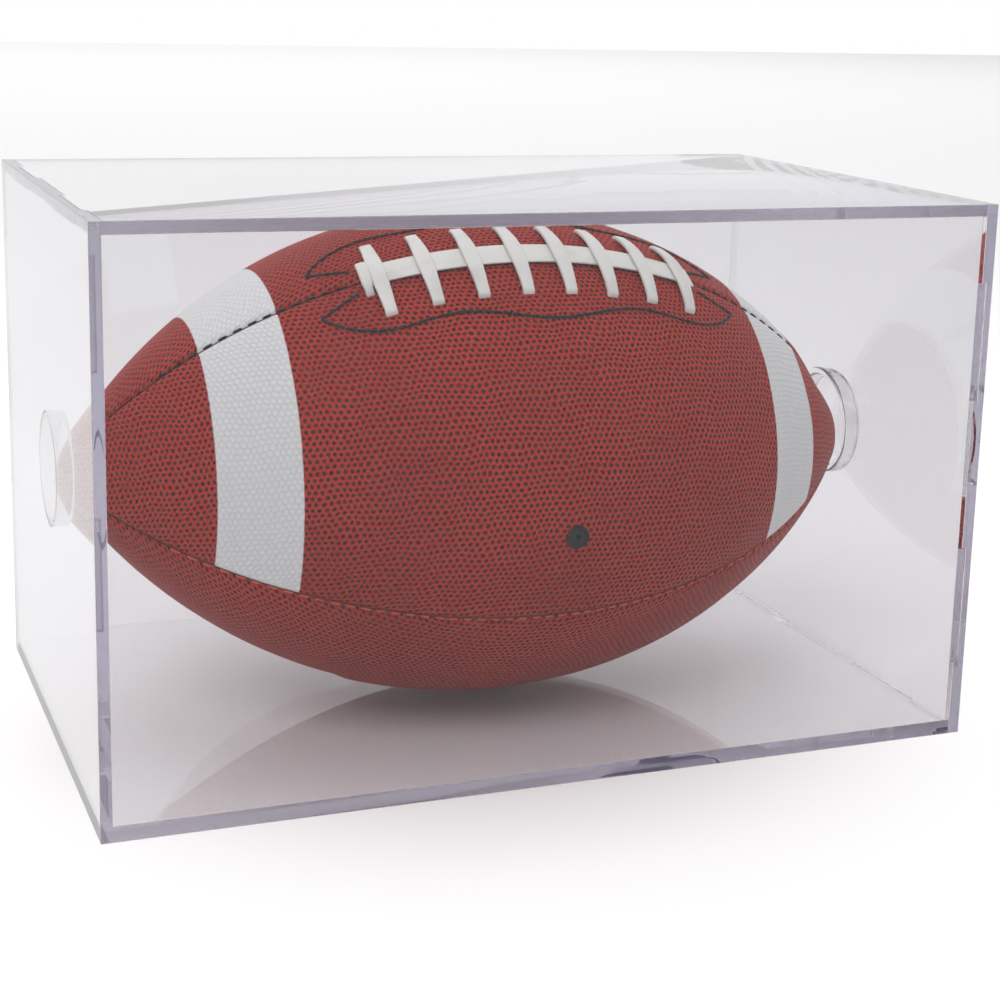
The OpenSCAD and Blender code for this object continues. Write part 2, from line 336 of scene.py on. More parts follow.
@dataclass(frozen=True)
class PebbledLeather:
    """Red-brown football leather: a raised net round pits, the pits coloured dark as painted shade, with painted
    bands on some panels.
    """

    name: str
    striped: bool = False
    pitch: float = 2.15
    wander: float = 1.3
    relief: float = 0.4
    ridge: Colour = (0.43, 0.022, 0.009)
    # Painted shade: the near-black colour laid in the pits of the grain, standing in for the shade in those
    # recesses.
    pit_shade: Colour = (0.045, 0.0035, 0.003)
    band: Colour = (0.66, 0.665, 0.675)
    band_pit: Colour = (0.50, 0.505, 0.52)
    band_middle: float = 5.5
    band_from: float = 85.0
    band_to: float = 109.0
    band_edge: float = 0.35

    def build(self) -> bpy.types.Material:
        """Return the material."""
        sheet = ShaderSheet(self.name)
        cells = self.pebbles(sheet)
        net = cells.step(0.16, 0.5)
        cloud = sheet.noise(sheet.place(), 26.0, 3.0)
        fine = sheet.noise(sheet.place(), 900.0, 3.0, 0.6)
        worn = cloud.step(0.3, 0.75)
        pit_shade = sheet.blend(worn, self.pit_shade, tuple(c * 1.5 for c in self.pit_shade))
        ridge = sheet.blend(worn, self.ridge, tuple(c * 0.82 for c in self.ridge))
        # Painted shade: the pit middles take the dark pit colour in place of the shade in the recesses; the raised
        # net keeps the ridge colour.
        colour = sheet.blend(cells.step(0.2, 0.43, 1.0, 0.0), ridge, pit_shade)
        roughness = net * 0.1 + 0.4 + fine * 0.08
        height = net + fine * 0.12
        if self.striped:
            away = abs(sheet.along("X") - self.band_middle)
            edge = fine * 0.5
            inner = (away + edge).step(self.band_from, self.band_from + self.band_edge)
            outer = (away + edge).step(self.band_to, self.band_to + self.band_edge, 1.0, 0.0)
            painted = inner * outer
            paint = sheet.blend(cells.step(0.3, 0.6, 0.0, 0.7), self.band, self.band_pit)
            colour = sheet.blend(painted, colour, paint)
            roughness = roughness + painted * 0.02
            height = height * (1.0 - painted * 0.45) + painted * 0.4
        skin = sheet.surface(
            Base_Color=colour,
            Roughness=roughness,
            Normal=sheet.bump(height, self.relief),
            Specular_IOR_Level=0.14,
            Sheen_Weight=0.04,
            Sheen_Roughness=0.4,
            Sheen_Tint=(1.0, 0.8, 0.82, 1.0),
        )
        return sheet.done(skin)

    def pebbles(self, sheet: ShaderSheet) -> Wire:
        """Return the distance from the middle of the nearest of the pits, in pitches.

        The pits lie in offset rows that wander a little.

        Args:
            sheet: The material being written.

        Returns:
            The distance, 0 at a middle and about 0.58 halfway between three pits.
        """
        chart = sheet.scaled(sheet.chart("grain"), 1.0 / (self.pitch * MM))
        drift = sheet.node(
            "ShaderNodeTexNoise",
            {"noise_dimensions": "2D"},
            {"Vector": chart, "Scale": 0.16, "Detail": 2.0},
            out="Color",
        )
        shaken = sheet.node(
            "ShaderNodeVectorMath",
            {"operation": "MULTIPLY_ADD"},
            {0: drift, 1: (self.wander, self.wander, 0.0), 2: chart},
        )
        across = sheet.node("ShaderNodeSeparateXYZ", inputs={0: shaken}, out="X")
        along = across.other("Y")
        rise = math.sqrt(3.0)
        nearest = None
        for shift in (0.0, 0.5):
            du = (across + shift).wrapped()
            dv = (along * (1.0 / rise) + shift).wrapped() * rise
            away = (du * du + dv * dv) ** 0.5
            nearest = away if nearest is None else nearest.lowest(away)
        return nearest


@dataclass(frozen=True)
class LaceCord:
    """Off-white flat lace of smooth composition stuff."""

    name: str = "lace"
    colour: Colour = (0.66, 0.65, 0.625)
    shade: Colour = (0.53, 0.52, 0.495)

    def build(self) -> bpy.types.Material:
        """Return the material."""
        sheet = ShaderSheet(self.name)
        cloud = sheet.noise(sheet.place(), 120.0, 3.0)
        fine = sheet.noise(sheet.place(), 1400.0, 4.0, 0.65)
        colour = sheet.blend(cloud.step(0.45, 0.8, 0.0, 0.7), self.colour, self.shade)
        shell = sheet.surface(
            Base_Color=colour,
            Roughness=fine * 0.15 + 0.38,
            Normal=sheet.bump(fine + cloud * 2.0, 0.08),
            Subsurface_Weight=0.12,
            Subsurface_Radius=(1.0, 0.9, 0.8),
            Subsurface_Scale=0.0006,
        )
        return sheet.done(shell)


@dataclass(frozen=True)
class SewingThread:
    """Twisted waxed thread."""

    name: str
    colour: Colour
    light: Colour
    twists: float = 4.0

    def build(self) -> bpy.types.Material:
        """Return the material."""
        sheet = ShaderSheet(self.name)
        chart = sheet.chart("twist")
        run = sheet.node("ShaderNodeSeparateXYZ", inputs={0: chart}, out="X")
        turn = run.other("Y")
        ply = ((run * self.twists + turn * 2.0) * (2.0 * math.pi)).wave().step(-0.9, 0.9)
        fine = sheet.noise(sheet.place(), 2500.0, 2.0)
        colour = sheet.blend(ply * fine.step(0.2, 0.8), self.colour, self.light)
        yarn = sheet.surface(
            Base_Color=colour, Roughness=fine * 0.2 + 0.45, Normal=sheet.bump(ply, 0.08), Specular_IOR_Level=0.3
        )
        return sheet.done(yarn)


@dataclass(frozen=True)
class MouldedRubber:
    """Black moulded rubber with a dull bloom."""

    name: str
    colour: Colour = (0.004, 0.004, 0.0045)
    bloom: Colour = (0.014, 0.0135, 0.0135)
    roughness: float = 0.32

    def build(self) -> bpy.types.Material:
        """Return the material."""
        sheet = ShaderSheet(self.name)
        cloud = sheet.noise(sheet.place(), 300.0, 4.0)
        fine = sheet.noise(sheet.place(), 3000.0, 2.0)
        rubber = sheet.surface(
            Base_Color=sheet.blend(cloud.step(0.4, 0.8), self.colour, self.bloom),
            Roughness=cloud * 0.2 + self.roughness,
            Normal=sheet.bump(fine, 0.03),
            Specular_IOR_Level=0.35,
        )
        return sheet.done(rubber)


@dataclass(frozen=True)
class WovenLiner:
    """Plain woven cotton, glued in layers behind the leather."""

    name: str = "liner_fabric"
    pitch: float = 0.9
    light: Colour = (0.62, 0.55, 0.42)
    dark: Colour = (0.36, 0.30, 0.21)

    def build(self) -> bpy.types.Material:
        """Return the material."""
        sheet = ShaderSheet(self.name)
        turn = 2.0 * math.pi / self.pitch
        warp = (sheet.along("X") * turn).wave()
        weft = (sheet.along("Z") * turn).wave()
        weave = (warp * weft).step(-0.8, 0.8)
        fuzz = sheet.noise(sheet.place(), 1500.0, 3.0)
        cloth = sheet.surface(
            Base_Color=sheet.blend(weave * fuzz.step(0.1, 0.7), self.dark, self.light),
            Roughness=fuzz * 0.1 + 0.85,
            Normal=sheet.bump(weave, 0.2),
        )
        return sheet.done(cloth)


@dataclass(frozen=True)
class FleshLeather:
    """Undyed facing leather, rough side out."""

    name: str = "facing_leather"
    light: Colour = (0.52, 0.33, 0.18)
    dark: Colour = (0.30, 0.17, 0.08)

    def build(self) -> bpy.types.Material:
        """Return the material."""
        sheet = ShaderSheet(self.name)
        cloud = sheet.noise(sheet.place(), 60.0, 4.0)
        nap = sheet.noise(sheet.place(), 1100.0, 4.0, 0.7)
        hide = sheet.surface(
            Base_Color=sheet.blend((cloud + nap).step(0.6, 1.3), self.dark, self.light),
            Roughness=nap * 0.15 + 0.75,
            Normal=sheet.bump(nap, 0.15),
        )
        return sheet.done(hide)


@dataclass(frozen=True)
class StudioFloor:
    """Pale matt floor."""

    name: str = "studio_floor"
    colour: Colour = (0.86, 0.86, 0.87)

    def build(self) -> bpy.types.Material:
        """Return the material."""
        sheet = ShaderSheet(self.name)
        cloud = sheet.noise(sheet.place(), 3.0, 2.0)
        pale = sheet.blend(cloud, self.colour, tuple(c * 0.99 for c in self.colour))
        return sheet.done(sheet.surface(Base_Color=pale, Roughness=0.9, Specular_IOR_Level=0.1))


# ---------------------------------------------------------------------------------------------
# Bench work
# ---------------------------------------------------------------------------------------------


def choose(*objects: bpy.types.Object) -> None:
    """Select these objects and no others, the first one active."""
    bpy.ops.object.select_all(action="DESELECT")
    for obj in objects:
        obj.select_set(True)
    bpy.context.view_layer.objects.active = objects[0]


class Piece:
    """One mesh on the bench, in metres."""

    def __init__(self, name: str) -> None:
        """Take over the primitive that was just added.

        Args:
            name: The piece's name.
        """
        self.obj = bpy.context.active_object
        self.obj.name = name
        self.obj.data.name = name
        self.settle()

    @classmethod
    def block(cls, name: str, low: Sequence[float], high: Sequence[float]) -> "Piece":
        """Start from a block.

        Args:
            name: The piece's name.
            low: Its lowest corner, in millimetres.
            high: Its highest corner, in millimetres.

        Returns:
            The new piece.
        """
        bottom, top = Vector(low) * MM, Vector(high) * MM
        bpy.ops.object.select_all(action="DESELECT")
        bpy.ops.mesh.primitive_cube_add(size=1.0, location=(bottom + top) / 2, scale=top - bottom)
        return cls(name)

    @classmethod
    def rod(cls, name: str, radius: float, length: float, sides: int) -> "Piece":
        """Start from an upright cylinder that stands on the origin, sizes in millimetres."""
        bpy.ops.object.select_all(action="DESELECT")
        bpy.ops.mesh.primitive_cylinder_add(
            vertices=sides, radius=radius * MM, depth=length * MM, location=(0, 0, length * MM / 2)
        )
        return cls(name)

    @classmethod
    def hoop(cls, name: str, radius: float, centre: Sequence[float], sides: int) -> "Piece":
        """Start from a circle of edges in the XZ plane, sizes in millimetres."""
        bpy.ops.object.select_all(action="DESELECT")
        bpy.ops.mesh.primitive_circle_add(
            vertices=sides, radius=radius * MM, location=Vector(centre) * MM, rotation=(math.pi / 2, 0, 0)
        )
        return cls(name)

    @classmethod
    def card(cls, name: str, size: Sequence[float], centre: Sequence[float], turn: Sequence[float]) -> "Piece":
        """Start from a flat rectangle.

        Args:
            name: The piece's name.
            size: Its two sides, in millimetres.
            centre: Its middle, in millimetres.
            turn: Its rotation, in radians.

        Returns:
            The new piece.
        """
        bpy.ops.object.select_all(action="DESELECT")
        bpy.ops.mesh.primitive_plane_add(
            size=1.0, location=Vector(centre) * MM, rotation=turn
        )
        bpy.context.active_object.scale = (size[0] * MM, size[1] * MM, 1.0)
        return cls(name)

    def settle(self) -> "Piece":
        """Put the object's place, turn and scale into its mesh."""
        choose(self.obj)
        bpy.ops.object.transform_apply(location=True, rotation=True, scale=True)
        return self

    def move(self, matrix: Matrix) -> "Piece":
        """Move the mesh by a matrix in metres."""
        self.obj.matrix_world = matrix
        return self.settle()

    def copy(self, name: str) -> "Piece":
        """Return a copy with its own mesh."""
        choose(self.obj)
        bpy.ops.object.duplicate(linked=False)
        return Piece(name)

    def join(self, *others: "Piece") -> "Piece":
        """Take other pieces into this mesh."""
        if others:
            choose(self.obj, *(other.obj for other in others))
            bpy.ops.object.join()
        return self

    @contextmanager
    def editing(self, kind: str = "VERT") -> Iterator[None]:
        """Work in edit mode, with all selected at the start.

        Args:
            kind: VERT, EDGE or FACE.

        Yields:
            Nothing; edit mode is left at the end.
        """
        choose(self.obj)
        bpy.ops.object.mode_set(mode="EDIT")
        bpy.ops.mesh.select_mode(type=kind)
        bpy.ops.mesh.select_all(action="SELECT")
        yield
        bpy.ops.object.mode_set(mode="OBJECT")

    def pick(self, test: Test, kind: str = "FACE") -> int:
        """Select, in edit mode, what passes a test.

        Args:
            test: Takes a middle in millimetres and a normal, or an edge's direction.
            kind: VERT, EDGE or FACE.

        Returns:
            How many were selected.
        """
        bpy.ops.mesh.select_mode(type=kind)
        bpy.ops.mesh.select_all(action="DESELECT")
        mesh = bmesh.from_edit_mesh(self.obj.data)
        found = 0
        if kind == "FACE":
            for face in mesh.faces:
                if test(face.calc_center_median() / MM, face.normal):
                    face.select_set(True)
                    found += 1
        elif kind == "EDGE":
            for edge in mesh.edges:
                first, second = edge.verts[0].co, edge.verts[1].co
                if test((first + second) / 2 / MM, (second - first).normalized()):
                    edge.select_set(True)
                    found += 1
        else:
            for vert in mesh.verts:
                if test(vert.co / MM, vert.normal):
                    vert.select_set(True)
                    found += 1
        bmesh.update_edit_mesh(self.obj.data)
        return found

    def slice(
        self, point: Sequence[float], normal: Sequence[float], clear: bool = True, fill: bool = False
    ) -> None:
        """Cut with a plane, in edit mode.

        Args:
            point: A point of the plane, in millimetres.
            normal: The plane's normal.
            clear: Take away what lies on the normal's side.
            fill: Close the cut.
        """
        bpy.ops.mesh.select_all(action="SELECT")
        bpy.ops.mesh.bisect(
            plane_co=Vector(point) * MM,
            plane_no=Vector(normal).normalized(),
            clear_outer=clear,
            use_fill=fill,
            threshold=1e-7,
        )

    @staticmethod
    def spin(steps: int, angle: float, centre: Sequence[float], axis: Sequence[float]) -> None:
        """Sweep what is selected, in edit mode, round an axis by the right-hand rule.

        Args:
            steps: Number of steps.
            angle: Whole angle, in radians.
            centre: A point of the axis, in millimetres.
            axis: The axis.
        """
        bpy.ops.mesh.spin(steps=steps, angle=-angle, center=Vector(centre) * MM, axis=axis)

    def modify(self, kind: str, **settings: Any) -> "Piece":
        """Add a modifier and apply it.

        Args:
            kind: The modifier's type.
            **settings: Its settings.

        Returns:
            This piece.
        """
        modifier = self.obj.modifiers.new(kind.title(), kind)
        for key, value in settings.items():
            setattr(modifier, key, value)
        choose(self.obj)
        bpy.ops.object.modifier_apply(modifier=modifier.name)
        return self

    def combine(self, operation: str, *tools: "Piece", solver: str = "EXACT") -> "Piece":
        """Join or cut with other pieces, which are used up.

        Args:
            operation: UNION or DIFFERENCE.
            *tools: The other pieces.
            solver: EXACT, or MANIFOLD for many small cuts.

        Returns:
            This piece.
        """
        for tool in tools:
            self.modify("BOOLEAN", operation=operation, solver=solver, object=tool.obj)
            bpy.data.objects.remove(tool.obj)
        return self

    def tidy(self, merge: float = 0.001) -> "Piece":
        """Merge doubles and point the faces outwards.

        Args:
            merge: Distance under which points are one, in millimetres.

        Returns:
            This piece.
        """
        with self.editing():
            bpy.ops.mesh.remove_doubles(threshold=merge * MM)
            bpy.ops.mesh.normals_make_consistent(inside=False)
        return self

    def seal(self) -> "Piece":
        """Close every open edge loop, then tidy."""
        with self.editing("EDGE"):
            bpy.ops.mesh.remove_doubles(threshold=0.001 * MM)
            bpy.ops.mesh.select_all(action="DESELECT")
            bpy.ops.mesh.select_non_manifold(
                extend=False, use_multi_face=False, use_non_contiguous=False, use_verts=False
            )
            bpy.ops.mesh.fill_holes(sides=0)
            bpy.ops.mesh.select_all(action="SELECT")
            bpy.ops.mesh.normals_make_consistent(inside=False)
        return self

    def weigh(self, name: str, weight: Callable[[Vector], float]) -> str:
        """Give every point a weight by its place.

        Args:
            name: The group's name.
            weight: Takes a place in millimetres and returns 0 to 1.

        Returns:
            The group's name.
        """
        group = self.obj.vertex_groups.new(name=name)
        for vert in self.obj.data.vertices:
            group.add([vert.index], max(0.0, min(1.0, weight(vert.co / MM))), "REPLACE")
        return group.name

    def unweigh(self) -> "Piece":
        """Take the weights away."""
        self.obj.vertex_groups.clear()
        return self

    def chart(self, name: str, place: Callable[[Vector, Vector], tuple[float, float]]) -> "Piece":
        """Lay a UV map.

        Args:
            name: The map's name.
            place: Takes a corner's place and its face's middle in millimetres, and returns the
                corner's place on the chart.

        Returns:
            This piece.
        """
        data = self.obj.data
        layer = data.uv_layers.new(name=name)
        for face in data.polygons:
            middle = face.center / MM
            for corner in face.loop_indices:
                vert = data.vertices[data.loops[corner].vertex_index]
                layer.data[corner].uv = place(vert.co / MM, middle)
        return self

    def finish(
        self,
        material: bpy.types.Material,
        body: Body,
        slot: Slot,
        stands_for: Sequence[str] = (),
        angle: float = 35.0,
    ) -> bpy.types.Object:
        """Smooth and dress the piece, and hand it to its body.

        Args:
            material: Its finish.
            body: The body that it rides on.
            slot: The record's slot for its finish; not used.
            stands_for: The CAD nodes that it is shown for.
            angle: Edges sharper than this stay sharp, in degrees.

        Returns:
            The finished object.
        """
        choose(self.obj)
        bpy.ops.object.shade_smooth_by_angle(angle=math.radians(angle))
        self.obj.data.materials.clear()
        self.obj.data.materials.append(material)
        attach(self.obj, body.value)
        if stands_for:
            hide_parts(*stands_for)
        log.info("%s: %d faces, on %s", self.obj.name, len(self.obj.data.polygons), body.value)
        return self.obj


# ---------------------------------------------------------------------------------------------
# Case
# ---------------------------------------------------------------------------------------------


@dataclass
class DisplayCase:
    """Both clear halves and their cups."""

    length: float = 298.0
    side: float = 185.0
    wall: float = 4.0
    mitre_gap: float = 0.3
    butt_gap: float = 0.1
    step_depth: float = 1.5
    tongue_length: float = 40.0
    tongue_offset: float = 46.0
    tongue_play: float = 0.15
    edge: float = 0.35
    cup_bore: float = 34.0
    cup_wall: float = 2.25
    cup_length: float = 5.7
    cup_bond: float = 1.0

    def turned(self) -> Matrix:
        """Return the half turn that makes the cover half out of the base half."""
        middle = Matrix.Translation((0, 0, self.side / 2 * MM))
        return middle @ Matrix.Rotation(math.pi, 4, Vector((0, 1, -1)).normalized()) @ middle.inverted()

    def half(self) -> Piece:
        """Return one half: left end wall, front wall and bottom wall in one moulding."""
        end, front, top = -self.length / 2, -self.side / 2, self.side
        reach = end + self.length - self.wall - self.butt_gap
        mitre = self.mitre_gap / math.sqrt(2)
        shell = Piece.block("clear_half_base", (end, front, 0), (reach, -front, top))
        with shell.editing():
            shell.slice((0, front, top - mitre), (0, 1, 1), fill=True)
        shell.combine(
            "DIFFERENCE",
            Piece.block("cavity", (end - 9, front + self.wall, self.wall), (reach + 9, top, 2 * top)),
        )
        shell.combine(
            "UNION",
            Piece.block("end_wall", (end, front, 0), (end + self.wall, -front, top)),
            *self.tongues(),
            solver="MANIFOLD",
        )
        shell.combine("DIFFERENCE", *self.notches(), solver="MANIFOLD")
        with shell.editing("FACE"):
            bpy.ops.mesh.dissolve_limited(angle_limit=math.radians(0.2))
        shell.tidy()
        return shell.modify(
            "BEVEL", width=self.edge * MM, segments=3, limit_method="ANGLE", angle_limit=math.radians(30)
        )

    def tongues(self) -> list[Piece]:
        """Return the tongues on the right ends of the bottom and front walls."""
        near, far = self.length / 2 - 2 * self.wall - self.butt_gap, self.length / 2 - self.wall + self.step_depth
        made = []
        for side in (-1, 1):
            first = side * self.tongue_offset - self.tongue_length / 2
            last = first + self.tongue_length
            front, middle = -self.side / 2, self.side / 2
            made.append(Piece.block("tongue", (near, first, 0), (far, last, self.wall)))
            made.append(
                Piece.block("tongue", (near, front, middle + first), (far, front + self.wall, middle + last))
            )
        return made

    def notches(self) -> list[Piece]:
        """Return the notches that the left end wall has for the other half's tongues."""
        inner = self.wall - self.length / 2
        deep = inner - self.step_depth - self.tongue_play
        long = self.tongue_length + 2 * self.tongue_play
        middle = self.side / 2
        near = middle - self.wall - self.tongue_play
        made = []
        for side in (-1, 1):
            first = side * self.tongue_offset - long / 2
            last = first + long
            made.append(Piece.block("notch", (deep, first, middle + near), (inner + 1, last, 2 * self.side)))
            made.append(Piece.block("notch", (deep, near, middle + first), (inner + 1, self.side, middle + last)))
        return made

    def cup(self, name: str) -> Piece:
        """Return the left cup, a short tube with a rounded rim, bonded to the end wall."""
        outer, bore = self.cup_bore / 2 + self.cup_wall, self.cup_bore / 2
        long = self.cup_length + self.cup_bond
        tube = Piece.rod(name, outer, long, 128)
        tube.combine("DIFFERENCE", self.plug(bore, long))
        mean = bore + self.cup_wall / 2
        with tube.editing("EDGE"):
            tube.pick(
                lambda middle, way: middle.z > long - 0.01 and abs(middle.xy.length - mean) > self.cup_wall * 0.4, "EDGE"
            )
            bpy.ops.mesh.bevel(offset=self.cup_wall * 0.42 * MM, segments=10, affect="EDGES")
        tube.tidy()
        foot = Matrix.Translation(((-self.length / 2 + self.wall - self.cup_bond) * MM, 0, self.side / 2 * MM))
        return tube.move(foot @ Matrix.Rotation(math.pi / 2, 4, "Y"))

    @staticmethod
    def plug(radius: float, length: float) -> Piece:
        """Return the tool that bores a cup."""
        tool = Piece.rod("bore", radius, length + 4, 128)
        return tool.move(Matrix.Translation((0, 0, -2 * MM)))

    def build(self, finish: bpy.types.Material) -> list[bpy.types.Object]:
        """Make both halves and both cups.

        Args:
            finish: The clear material.

        Returns:
            The finished objects.
        """
        base = self.half().combine("UNION", self.cup("cup"), solver="MANIFOLD").tidy()
        cover = base.copy("clear_half_cover").move(self.turned())
        made = [
            base.finish(finish, Body.BASE, Slot.CLEAR, ["case_base_half", "tip_cup_left"], angle=12.0),
            cover.finish(finish, Body.COVER, Slot.CLEAR, ["case_cover_half", "tip_cup_right"], angle=12.0),
        ]
        for obj in made:
            obj.visible_shadow = False
            obj.visible_diffuse = False
        return made


# ---------------------------------------------------------------------------------------------
# Football
# ---------------------------------------------------------------------------------------------


@dataclass
class BallShape:
    """The football's outline: one long arc each side, run into a rounded tip. Axis on X."""

    length: float = 285.0
    across: float = 165.0
    tip_r: float = 25.0
    axis_z: float = 88.3
    roll: float = 27.0

    def __post_init__(self) -> None:
        """Work out the long arc's radius and where it meets the tip."""
        self.half_len, self.half_d = self.length / 2, self.across / 2
        self.tip_x = self.half_len - self.tip_r
        self.body_r = (self.tip_x**2 + self.half_d**2 - self.tip_r**2) / (2 * (self.half_d - self.tip_r))
        self.sink = self.body_r - self.half_d
        self.join_x = self.tip_x * self.body_r / (self.body_r - self.tip_r)

    def radius(self, x: float) -> float:
        """Return the football's radius at station x."""
        if abs(x) <= self.join_x:
            return math.sqrt(self.body_r**2 - x * x) - self.sink
        return math.sqrt(max(0.0, self.tip_r**2 - (abs(x) - self.tip_x) ** 2))

    def arc(self, x: float) -> float:
        """Return the length along the outline from the middle to station x."""
        if abs(x) <= self.join_x:
            return self.body_r * math.asin(x / self.body_r)
        past = math.acos((self.join_x - self.tip_x) / self.tip_r) - math.acos(
            max(-1.0, min(1.0, (abs(x) - self.tip_x) / self.tip_r))
        )
        return math.copysign(self.body_r * math.asin(self.join_x / self.body_r) + self.tip_r * past, x)

    def point(self, x: float, angle: float, out: float = 0.0) -> Vector:
        """Return a point of the surface.

        Args:
            x: Station along the football.
            angle: Angle from the lace seam towards the front, in degrees.
            out: How far outside the surface.

        Returns:
            The point, in millimetres, in the football's own frame.
        """
        r, a = self.radius(x) + out, math.radians(angle)
        return Vector((x, -r * math.sin(a), r * math.cos(a)))

    def lean(self, x: float) -> float:
        """Return the slope of the outline at station x, in radians."""
        return math.asin(x / self.body_r)

    def on_seam(self, x: float, angle: float = 0.0) -> Matrix:
        """Return the frame that stands on the surface at station x, Z outwards."""
        turn = Matrix.Rotation(math.radians(angle), 4, "X")
        up = Matrix.Translation((x * MM, 0, self.radius(x) * MM))
        return turn @ up @ Matrix.Rotation(self.lean(x), 4, "Y")

    def in_case(self) -> Matrix:
        """Return the move from the football's own frame into the case."""
        return Matrix.Translation((0, 0, self.axis_z * MM)) @ Matrix.Rotation(math.radians(self.roll), 4, "X")


@dataclass
class LacePlan:
    """Where the laces and their holes are. Millimetres, in the frame that stands on the seam."""

    ball: BallShape
    middle: float = 6.2
    count: int = 8
    pitch: float = 15.3
    reach: float = 15.3
    width: float = 3.8
    thick: float = 1.5
    run_width: float = 9.0
    run_thick: float = 1.4
    run_tail: float = 5.5
    lip: float = 0.3
    leg_d: float = 2.8
    play: float = 0.3
    knot_foot: float = 1.6
    knot_gap: float = 0.3

    def station(self, number: int) -> float:
        """Return the station of a cross lace, counted from 1 at the left."""
        return self.middle + (number - (self.count + 1) / 2) * self.pitch

    def girth(self, number: int) -> float:
        """Return the radius of the surface round the football at a cross lace."""
        x = self.station(number)
        return self.ball.radius(x) / math.cos(self.ball.lean(x))

    def leg_angle(self, number: int) -> float:
        """Return the angle at which a leg goes in, in radians."""
        return math.asin(self.reach / self.girth(number))

    def drop(self, number: int, half: float) -> float:
        """Return how far the surface has dropped at a distance from the seam."""
        girth = self.girth(number)
        return girth * (1 - math.cos(math.asin(half / girth)))

    def leg_frame(self, number: int, side: int) -> Matrix:
        """Return the frame of one leg, Z outwards along it, in the football's own frame."""
        down = self.drop(number, self.reach)
        return (
            self.ball.on_seam(self.station(number))
            @ Matrix.Translation((0, side * self.reach * MM, -down * MM))
            @ Matrix.Rotation(-side * self.leg_angle(number), 4, "X")
        )


